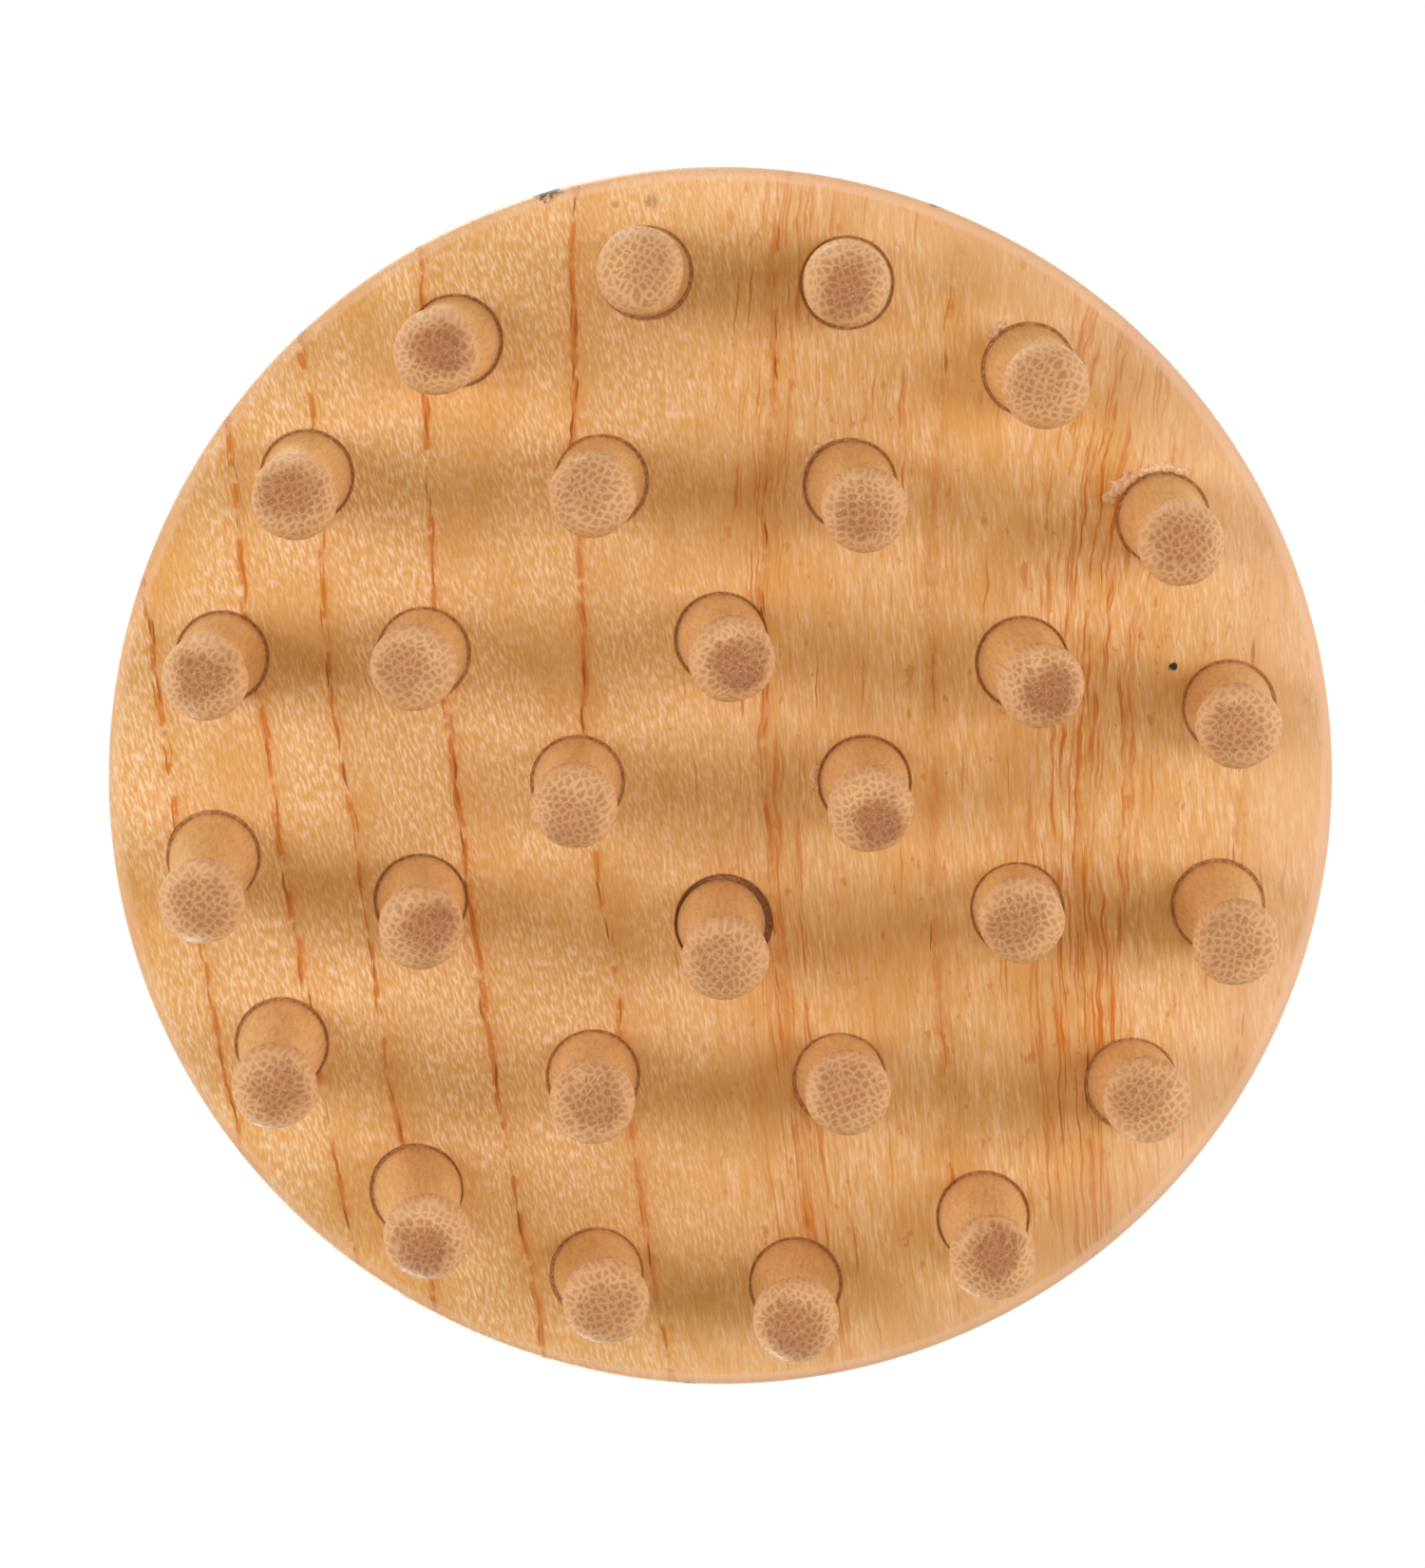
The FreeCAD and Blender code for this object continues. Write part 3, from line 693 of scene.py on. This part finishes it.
def bamboo(settings):
    """Bamboo rod: fibre bundles along the peg, cut across at the ball and along on the shank.

    The place on the unset peg is in the attribute rod, with the ball's centre at zero, and batch
    tells the pegs apart.
    """
    finish = Finish("bamboo", Coat_Roughness=0.14, Specular_IOR_Level=0.35)
    rod = finish.node("ShaderNodeAttribute", {"attribute_name": "rod"}, output="Vector")
    batch = finish.node("ShaderNodeAttribute", {"attribute_name": "batch"}, output="Vector")
    rod = finish.scaled(rod, 1 / MM)
    x, y, z = finish.parts(rod)
    out = (x * x + y * y).root()
    culm = finish.moved(rod, batch)

    # The bundles run along Z and waver, so a cut along the peg crosses them at a long slant.
    waver = finish.noise(culm, (0.45, 0.45, 0.70))
    culm_x, culm_y, _ = finish.parts(culm)
    across = finish.vector(culm_x + 1.3 * waver + 0.03 * x * x, culm_y - 1.1 * waver, 0.0)
    cells = finish.node(
        "ShaderNodeTexVoronoi", {"voronoi_dimensions": "2D", "feature": "DISTANCE_TO_EDGE"},
        {"Vector": across, "Scale": MM / settings.bundle, "Randomness": 0.65},
    )
    fine = finish.noise(culm, (9.0, 9.0, 2.0), 2.0, 0.6)
    streaks = finish.noise(culm, (3.4, 3.4, 0.30), 2.0, 0.6)
    cloud = finish.noise(culm, (0.40, 0.40, 0.25))
    dot = (cells + 0.16 * (fine - 0.5)).fade(0.04, 0.36)
    core = cells.fade(0.32, 0.48)

    # The ball is paler round its side, where a painted sheen is laid, and browner where it is
    # handled, on some pegs more.
    lots = finish.moved(finish.scaled(batch, 0.5 / BATCH_SPREAD), (0.5, 0.5, 0.5))
    handled, ruddy, _ = finish.parts(lots)
    ball = z.fade(2.9, 1.6)
    # side masks the painted sheen round the ball. There the bundles fade, the coat thins and the
    # surface is rougher.
    side = (out + 1.8 * (cloud - 0.5)).fade(2.0, 3.2) * ball
    off_x, off_y = x + 1.3 * (handled - 0.5), y + 1.3 * (ruddy - 0.5)
    off_middle = (off_x * off_x + off_y * off_y).root() + 2.4 * (cloud - 0.5)
    worn = off_middle.fade(3.0, 1.0) * z.fade(-0.4, -2.0)
    shade = 0.26 + 0.36 * ball - 0.30 * side + (0.04 + 0.28 * handled) * worn
    bundles = finish.mix(ball, settings.strand, settings.fibre)
    skin = finish.coats(
        settings.tan,
        (0.70 * streaks.fade(0.32, 0.72), settings.cream),
        (0.80 * ball, settings.cream),
        # Painted sheen round the side of the ball.
        (0.75 * side, settings.painted_rim_sheen),
        (0.25 * cloud.fade(0.45, 0.70) * (1.0 - side), settings.tan),
        ((0.38 + 0.52 * handled) * worn, settings.heart),
        (0.45 * ruddy * worn * cloud.fade(0.40, 0.62), settings.blush),
        (shade * (dot - 0.22 * core), bundles),
        (0.30 * fine.fade(0.5, 0.75) * (1.0 - ball), settings.fibre),
        (0.55 * fine.fade(0.56, 0.74) * ball, settings.dust),
    )
    return finish.paint(
        Base_Color=skin, Coat_Weight=0.34 - 0.30 * side,
        Roughness=0.34 + 0.22 * fine + 0.08 * dot + 0.25 * side,
        Normal=finish.bump(0.6 * fine + 0.4 * streaks - 0.5 * dot, 0.035 * MM),
    )


def walnut(settings):
    """Oiled walnut, with its growth rings upright, so that they swirl on the front of the head."""
    finish = Finish("walnut", Coat_Weight=0.10, Coat_Roughness=0.25, Specular_IOR_Level=0.45)
    place = finish.millimetres()
    x, y, z = finish.parts(place)
    drift = finish.noise(place, (0.09, 0.09, 0.035))
    wander = finish.noise(place, (0.55, 0.55, 0.14), 3.0, 0.6)
    off_swirl = x - 1.5
    bow = off_swirl * off_swirl / (1.0 + 0.16 * abs(off_swirl))
    ring = (y + 0.19 * bow + 2.6 * (drift - 0.5) + 0.8 * (wander - 0.5)) / 2.5
    band = abs(ring - ring.nearest()) * 2.0
    fibre = finish.noise(place, (5.5, 5.5, 0.45), 3.0, 0.6)
    thread = finish.noise(place, (1.9, 1.9, 0.10), 2.0, 0.6)
    pores = finish.noise(place, (4.2, 4.2, 0.35)).fade(0.60, 0.68)
    cloud = finish.noise(place, (0.16, 0.16, 0.08))
    head = z.fade(CROWN / MM + 14, CROWN / MM + 19)
    shadow = band.fade(0.45, 1.0) * (0.12 + 0.45 * head) * (0.35 + cloud.fade(0.62, 0.38))
    wood = finish.coats(
        settings.walnut,
        (fibre.fade(0.34, 0.70), settings.light),
        (0.50 * cloud.fade(0.42, 0.65), settings.light),
        (0.40 * thread.fade(0.52, 0.35), settings.dark),
        (shadow, settings.dark),
        (0.60 * pores, settings.dark),
    )
    relief = finish.bump(0.4 * fibre - 0.9 * pores, 0.03 * MM)
    return finish.paint(Base_Color=wood, Roughness=0.40 + 0.15 * fibre, Normal=relief)


def beech(settings):
    """The plain wood of the dowel, with its fibres upright."""
    finish = Finish("beech", Specular_IOR_Level=0.3)
    fibre = finish.noise(finish.millimetres(), (3.0, 3.0, 0.3))
    wood = finish.mix(fibre, settings.dowel_dark, settings.dowel_light)
    return finish.paint(Base_Color=wood, Roughness=0.6 + 0.1 * fibre)


def hard_glue(name, dark, light):
    """Wood glue that has set, with sawdust in it."""
    finish = Finish(name, Coat_Weight=0.3, Coat_Roughness=0.2)
    crumb = finish.noise(finish.millimetres(), 3.2, 3.0, 0.6)
    glue = finish.mix(crumb.fade(0.35, 0.68), dark, light)
    relief = finish.bump(crumb, 0.08 * MM)
    return finish.paint(Base_Color=glue, Roughness=0.35 + 0.25 * crumb, Normal=relief)


# The pieces.


def disc_outline(disc):
    """Half of the disc's section, from the middle of its face round to the bottom of its socket."""
    top = disc.thickness
    crown = (0.0, top - math.sqrt(disc.crown_arc**2 - disc.seat_radius**2))
    wall = (disc.radius - disc.wall_arc, disc.rim_height)
    # The shoulder's centre is where it runs smoothly into both the crown and the wall.
    gap = math.dist(crown, wall)
    to_crown, to_wall = disc.crown_arc - disc.shoulder_arc, disc.shoulder_arc - disc.wall_arc
    along = (to_crown**2 - to_wall**2 + gap**2) / (2 * gap)
    turn = heading(crown, wall) + math.acos(along / to_crown)
    shoulder = (to_crown * math.cos(turn), crown[1] + to_crown * math.sin(turn))
    meets_crown, meets_wall = heading(crown, shoulder), heading(shoulder, wall)
    seat = math.acos(disc.seat_radius / disc.crown_arc)
    corner = (disc.radius - disc.edge_arc, disc.edge_arc)
    outline = [(0.0, 0.0)]
    outline += arc(corner, disc.edge_arc, -math.pi / 2, 0.0, 6)
    outline += arc(wall, disc.wall_arc, 0.0, meets_wall, 8)
    outline += arc(shoulder, disc.shoulder_arc, meets_wall, meets_crown, 24)[1:]
    outline += arc(crown, disc.crown_arc, meets_crown, seat, 16)[1:]
    outline += [(disc.socket_radius, top), (disc.socket_radius, top - disc.socket_depth)]
    outline += [(0.0, top - disc.socket_depth)]
    return [(radius, height + FACE) for radius, height in outline]


def drill(disc):
    """A drill for each peg hole, all in one piece: the hole, with its worn edge."""
    wide = disc.hole_radius + disc.hole_wear + MM
    outline = [
        (0.0, -MM), (wide, -MM), (disc.hole_radius, disc.hole_wear),
        (disc.hole_radius, disc.hole_depth), (0.0, disc.hole_depth),
    ]
    master = turn_on_lathe("drill", outline, HOLE_SIDES)
    drills = [master] + [copy_of(master) for _ in PEG_NODES[1:]]
    for node, bit in zip(PEG_NODES, drills):
        fix_place(bit, hole_place(node))
    return join(drills, "drill")


class MASSAGER_OT_turn_disc(bpy.types.Operator):
    """Turns the disc, drills its peg holes and lacquers it"""

    bl_idname = "massager.turn_disc"
    bl_label = "Turn Disc"

    def execute(self, context):
        disc = context.scene.massager_disc
        piece = turn_on_lathe("turned_disc", disc_outline(disc), DISC_SIDES)
        drills = drill(disc)
        pick(piece)
        cut = piece.modifiers.new("peg_holes", "BOOLEAN")
        cut.operation, cut.solver, cut.object = "DIFFERENCE", "EXACT", drills
        before = len(piece.data.vertices)
        bpy.ops.object.modifier_apply(modifier=cut.name)
        if len(piece.data.vertices) <= before:
            raise RuntimeError("the peg holes weren't cut")
        bpy.data.objects.remove(drills)
        smooth_and_crease(piece)
        piece.data.materials.append(disc_finish(disc))
        hand_over(piece, "disc", "disc")
        return {"FINISHED"}


def peg_outline(peg):
    """Half of a peg's section, from the bottom of its ball to the end of its tenon."""
    belly = (peg.base_radius, peg.base_height)
    neck = (peg.waist_radius, peg.waist_height)
    chord = math.dist(belly, neck)
    across = math.sqrt(peg.shank_arc**2 - (chord / 2) ** 2)
    way = heading(neck, belly) + math.pi / 2
    middle = ((belly[0] + neck[0]) / 2, (belly[1] + neck[1]) / 2)
    centre = (middle[0] + across * math.cos(way), middle[1] + across * math.sin(way))
    ball_ends = math.acos(peg.waist_radius / peg.ball_radius)
    outline = arc((0.0, 0.0), peg.ball_radius, -math.pi / 2, ball_ends, 24)
    outline += arc(centre, peg.shank_arc, heading(centre, neck), heading(centre, belly), 10)
    outline += [
        (peg.tenon_radius, peg.tenon_height - peg.chamfer),
        (peg.tenon_radius - peg.chamfer, peg.tenon_height),
        (0.0, peg.tenon_height),
    ]
    return outline


def write_vectors(piece, name, vectors):
    """Stores a vector for each point of a piece, for its finish to read."""
    store = piece.data.attributes.new(name, "FLOAT_VECTOR", "POINT")
    store.data.foreach_set("vector", np.asarray(vectors, dtype=np.float32).ravel())


def points_of(piece):
    """The places of a piece's points, as rows."""
    places = np.empty(len(piece.data.vertices) * 3, dtype=np.float32)
    piece.data.vertices.foreach_get("co", places)
    return places.reshape(-1, 3)


def wear(piece, peg):
    """Leaves a set peg slightly out of round below the face, as hand work does.

    The lowest part of its ball keeps its shape, so that the peg still stands on z = 0.
    """
    group = piece.vertex_groups.new(name="below_face")
    heights = points_of(piece)[:, 2]
    free = [int(i) for i in np.flatnonzero((heights < FACE - MM) & (heights > BALL_FOOT))]
    group.add(free, 1.0, "REPLACE")
    roughen(piece, LUMP_GRAIN, detail=1, amount=peg.unevenness, level=0.5, group=group.name)
    piece.vertex_groups.clear()


class MASSAGER_OT_set_pegs(bpy.types.Operator):
    """Turns a bamboo peg for each hole and sets it, with its own slight lean"""

    bl_idname = "massager.set_pegs"
    bl_label = "Set Pegs"

    def execute(self, context):
        peg = context.scene.massager_peg
        finish = bamboo(peg)
        master = turn_on_lathe("bamboo_peg", peg_outline(peg), PEG_SIDES)
        write_vectors(master, "rod", points_of(master))
        for node in PEG_NODES:
            piece = copy_of(master)
            piece.name = piece.data.name = "bamboo_" + node
            chance = seeded(node)
            batch = [chance.uniform(-BATCH_SPREAD, BATCH_SPREAD) for _ in range(3)]
            write_vectors(piece, "batch", [batch] * len(piece.data.vertices))
            centre, way = peg_axis(node)
            turn = way.to_track_quat("Z", "Y").to_matrix().to_4x4()
            spin = Matrix.Rotation(chance.uniform(0, FULL_TURN), 4, "Z")
            fix_place(piece, Matrix.Translation(centre) @ turn @ spin)
            wear(piece, peg)
            smooth_and_crease(piece)
            piece.data.materials.append(finish)
            hand_over(piece, "peg", node)
        bpy.data.objects.remove(master)
        return {"FINISHED"}


def squeezed_out(name, centre, reach, first, last, thickness):
    """A crumbly bead of glue on the face, round part of a peg's hole, half as high as wide."""
    deselect()
    start = centre + Vector((math.cos(first), math.sin(first), 0)) * reach
    bpy.ops.mesh.primitive_circle_add(
        vertices=BEAD_SIDES, radius=thickness, fill_type="NGON", location=start,
        rotation=(math.pi / 2, 0, first),
    )
    piece = bpy.context.active_object
    piece.name = piece.data.name = name
    piece.scale = (1.0, 0.5, 1.0)
    bpy.ops.object.transform_apply(location=True, rotation=True, scale=True)
    bpy.ops.object.mode_set(mode="EDIT")
    sweep(BEAD_STEPS, first - last, centre)
    roughen(piece, CRUMB_GRAIN, detail=2, amount=1.6 * thickness, level=0.6)
    return piece


class MASSAGER_OT_glue_pegs(bpy.types.Operator):
    """Fills the gap round each peg with glue, and leaves a little on the face by a few of them"""

    bl_idname = "massager.glue_pegs"
    bl_label = "Glue Pegs"

    def execute(self, context):
        glue = context.scene.massager_glue
        hole = context.scene.massager_disc.hole_radius
        outer, inner, deep = hole + glue.soak, hole - glue.width, glue.depth
        section = [(inner, 0.0), (outer, 0.0), (outer, deep), (inner, deep), (inner, 0.0)]
        master = turn_on_lathe("glue_line", section, PEG_SIDES)
        rings = []
        for node in PEG_NODES:
            ring = copy_of(master)
            sunk = seeded(node).uniform(*GLUE_SUNK) * MM
            fix_place(ring, hole_place(node, WIDE_HOLE_SUNK if node == WIDE_HOLE else sunk))
            rings.append(ring)
        bpy.data.objects.remove(master)
        lines = join(rings, "glue_lines")
        smooth_and_crease(lines)
        lines.data.materials.append(hard_glue("glue_in_gap", glue.gap, glue.thin))
        hand_over(lines, "peg")

        beads = []
        for node, first, last, reach, thickness in GLUE_BEADS:
            centre = hole_centre(node)
            turns = math.radians(first), math.radians(last)
            beads.append(squeezed_out("bead_" + node, centre, reach * MM, *turns, thickness * MM))
        crumbs = join(beads, "glue_crumbs")
        smooth_and_crease(crumbs, CRUMB_CREASE)
        crumbs.data.materials.append(hard_glue("glue_on_face", glue.crumb, glue.dry))
        hand_over(crumbs, "peg")
        return {"FINISHED"}


def knob_outline(knob):
    """Half of the knob's section, from the top of its socket down, out and up to its crown."""
    grip = (knob.grip_radius, knob.grip_height)
    head = (knob.head_radius, knob.head_height)
    bead_half = knob.bead_height / 2
    bead = (knob.foot_radius - math.sqrt(knob.bead_arc**2 - bead_half**2), bead_half)
    bead_turn = math.asin(bead_half / knob.bead_arc)
    rise, run = grip[1] - knob.collar_height, knob.collar_radius - grip[0]
    low_arc = (rise**2 + run**2) / (2 * run)
    low = (grip[0] + low_arc, grip[1])
    high = (grip[0] + knob.grip_arc, grip[1])
    lift, out = head[1] - grip[1], high[0] - head[0]
    under_arc = (lift**2 + out**2 - knob.grip_arc**2) / (2 * (knob.grip_arc - out))
    under = (head[0] - under_arc, head[1])
    turn = heading(under, high)
    over = (head[0] - knob.head_arc, head[1])
    above = knob.height - head[1]
    crown_arc = (over[0] ** 2 + above**2 - knob.head_arc**2) / (2 * (above - knob.head_arc))
    crown = (0.0, knob.height - crown_arc)
    over_ends = heading(crown, over)
    collar_turn = heading(low, (knob.collar_radius, knob.collar_height)) + FULL_TURN
    outline = [(0.0, knob.socket_depth), (knob.socket_radius, knob.socket_depth)]
    outline += [(knob.socket_radius, 0.0)]
    outline += arc(bead, knob.bead_arc, -bead_turn, bead_turn, 12)
    outline += [(knob.groove_radius, knob.groove_height)]
    outline += arc(low, low_arc, collar_turn, math.pi, 10)
    outline += arc(high, knob.grip_arc, math.pi, turn + math.pi, 16)[1:]
    outline += arc(under, under_arc, turn, 0.0, 14)[1:]
    outline += arc(over, knob.head_arc, 0.0, over_ends, 14)[1:]
    outline += arc(crown, crown_arc, over_ends, math.pi / 2, 20)[1:]
    return [(abs(radius), height + KNOB_LOW.z) for radius, height in outline]


class MASSAGER_OT_turn_knob(bpy.types.Operator):
    """Turns the walnut knob and oils it"""

    bl_idname = "massager.turn_knob"
    bl_label = "Turn Knob"

    def execute(self, context):
        knob = context.scene.massager_knob
        piece = turn_on_lathe("turned_knob", knob_outline(knob), KNOB_SIDES)
        smooth_and_crease(piece, KNOB_CREASE)
        piece.data.materials.append(walnut(knob))
        hand_over(piece, "knob", "knob")
        return {"FINISHED"}


class MASSAGER_OT_finish_dowel(bpy.types.Operator):
    """Gives the hidden dowel its wood"""

    bl_idname = "massager.finish_dowel"
    bl_label = "Finish Dowel"

    def execute(self, context):
        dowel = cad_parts["knob_dowel"]
        dowel.data.materials.clear()
        dowel.data.materials.append(beech(context.scene.massager_knob))
        return {"FINISHED"}


# The stage.


def softbox(name, place, aim, size, power):
    """A square area light that faces a point."""
    deselect()
    bpy.ops.object.light_add(type="AREA", location=place)
    light = bpy.context.active_object
    light.name = light.data.name = name
    light.data.shape, light.data.size, light.data.energy = "SQUARE", size, power
    light.rotation_euler = (Vector(aim) - Vector(place)).to_track_quat("-Z", "Y").to_euler()
    return light


def plain_background(stage):
    """A plain white surround, seen and reflected at full strength, that lights more faintly."""
    world = bpy.data.worlds.new("plain_white")
    world.use_nodes = True
    bpy.context.scene.world = world
    nodes, links = world.node_tree.nodes, world.node_tree.links
    nodes.clear()
    seen, lit = nodes.new("ShaderNodeBackground"), nodes.new("ShaderNodeBackground")
    seen.inputs["Strength"].default_value = stage.white
    lit.inputs["Strength"].default_value = stage.ambient
    seen.inputs["Color"].default_value = (1.0, 1.0, 1.0, 1.0)
    lit.inputs["Color"].default_value = (*stage.ambient_tint, 1.0)
    path, chooser = nodes.new("ShaderNodeLightPath"), nodes.new("ShaderNodeMixShader")
    either, out = nodes.new("ShaderNodeMath"), nodes.new("ShaderNodeOutputWorld")
    either.operation = "MAXIMUM"
    links.new(path.outputs["Is Camera Ray"], either.inputs[0])
    links.new(path.outputs["Is Glossy Ray"], either.inputs[1])
    links.new(either.outputs[0], chooser.inputs[0])
    links.new(lit.outputs[0], chooser.inputs[1])
    links.new(seen.outputs[0], chooser.inputs[2])
    links.new(chooser.outputs[0], out.inputs["Surface"])


def floor_paint(stage):
    """A pale floor that shows only from above, so that the pegs can be seen from below."""
    finish = Finish(
        "pale_floor", Roughness=0.75, Specular_IOR_Level=0.2,
        Emission_Color=(*stage.glow_tint, 1.0), Emission_Strength=stage.floor_glow,
    )
    place = finish.node("ShaderNodeTexCoord", None, output="Object")
    duller = [part * 0.97 for part in stage.floor]
    finish.paint(Base_Color=finish.mix(finish.noise(place, 6.0), duller, stage.floor))
    below = finish.node("ShaderNodeNewGeometry", None, output="Backfacing")
    clear = finish.node("ShaderNodeBsdfTransparent", None)
    solid = Value(finish, finish.shader.outputs[0])
    chooser = finish.node("ShaderNodeMixShader", None, (below, solid, clear))
    out = finish.tree.nodes["Material Output"]
    finish.tree.links.new(chooser.socket, out.inputs["Surface"])
    return finish.material


class MASSAGER_OT_set_stage(bpy.types.Operator):
    """Sets the floor, the soft lights and the camera, which looks up at the pegs"""

    bl_idname = "massager.set_stage"
    bl_label = "Set Stage"

    def execute(self, context):
        stage = context.scene.massager_stage
        deselect()
        bpy.ops.mesh.primitive_plane_add(size=stage.floor_size, location=(0, 0, 0))
        floor = bpy.context.active_object
        floor.name = floor.data.name = "floor"
        floor.data.materials.append(floor_paint(stage))
        floor.visible_diffuse = floor.visible_glossy = floor.visible_shadow = False
        floor.visible_transmission = False

        face = Vector((0, 0, FACE))
        for side, sign in (("left", -1), ("right", 1)):
            below = face + Vector(UNDER_PLACE) * Vector((1, sign, 1))
            under = softbox("under_" + side, below, face, stage.under_size, stage.under_power)
            # Reflected, these would put a white glint on the underside of each ball.
            under.visible_glossy = False
            above = face + Vector(SIDE_PLACE) * Vector((sign, 1, 1))
            softbox("side_" + side, above, face, stage.side_size, stage.side_power)
        softbox("overhead", TOP_PLACE, face, stage.top_size, stage.top_power)
        plain_background(stage)
        context.scene.view_settings.view_transform = "Standard"

        camera_at = face + Vector(CAMERA_PLACE) * MM
        aim = face + Vector(CAMERA_AIM) * MM
        forward = (aim - camera_at).normalized()
        right = forward.cross(Vector((1, 0, 0))).normalized()
        up = right.cross(forward)
        bpy.ops.object.camera_add()
        camera = bpy.context.active_object
        camera.name = camera.data.name = "camera"
        turn = Matrix((right, up, -forward)).transposed().to_4x4()
        camera.matrix_world = Matrix.Translation(camera_at) @ turn
        camera.data.lens = stage.lens
        camera.data.clip_start, camera.data.clip_end = CAMERA_RANGE
        context.scene.camera = camera
        return {"FINISHED"}


class MASSAGER_PT_workshop(bpy.types.Panel):
    """Lists the workshop's steps in the sidebar"""

    bl_idname = "MASSAGER_PT_workshop"
    bl_label = "Scalp Massager"
    bl_space_type = "VIEW_3D"
    bl_region_type = "UI"
    bl_category = "Massager"

    def draw(self, context):
        column = self.layout.column()
        for step in STEPS:
            column.operator(step.bl_idname)


STEPS = (
    MASSAGER_OT_turn_disc,
    MASSAGER_OT_set_pegs,
    MASSAGER_OT_glue_pegs,
    MASSAGER_OT_turn_knob,
    MASSAGER_OT_finish_dowel,
    MASSAGER_OT_set_stage,
)
SETTINGS = {
    "massager_disc": DiscSettings,
    "massager_peg": PegSettings,
    "massager_glue": GlueSettings,
    "massager_knob": KnobSettings,
    "massager_stage": StageSettings,
}


def register():
    for group in (*SETTINGS.values(), *STEPS, MASSAGER_PT_workshop):
        bpy.utils.register_class(group)
    for name, group in SETTINGS.items():
        setattr(bpy.types.Scene, name, bpy.props.PointerProperty(type=group))


def unregister():
    for name in SETTINGS:
        delattr(bpy.types.Scene, name)
    for group in (MASSAGER_PT_workshop, *reversed(STEPS), *reversed(SETTINGS.values())):
        bpy.utils.unregister_class(group)


def main():
    register()
    bpy.ops.massager.turn_disc()
    bpy.ops.massager.set_pegs()
    bpy.ops.massager.glue_pegs()
    bpy.ops.massager.turn_knob()
    bpy.ops.massager.finish_dowel()
    bpy.ops.massager.set_stage()


if __name__ == "__main__":
    main()
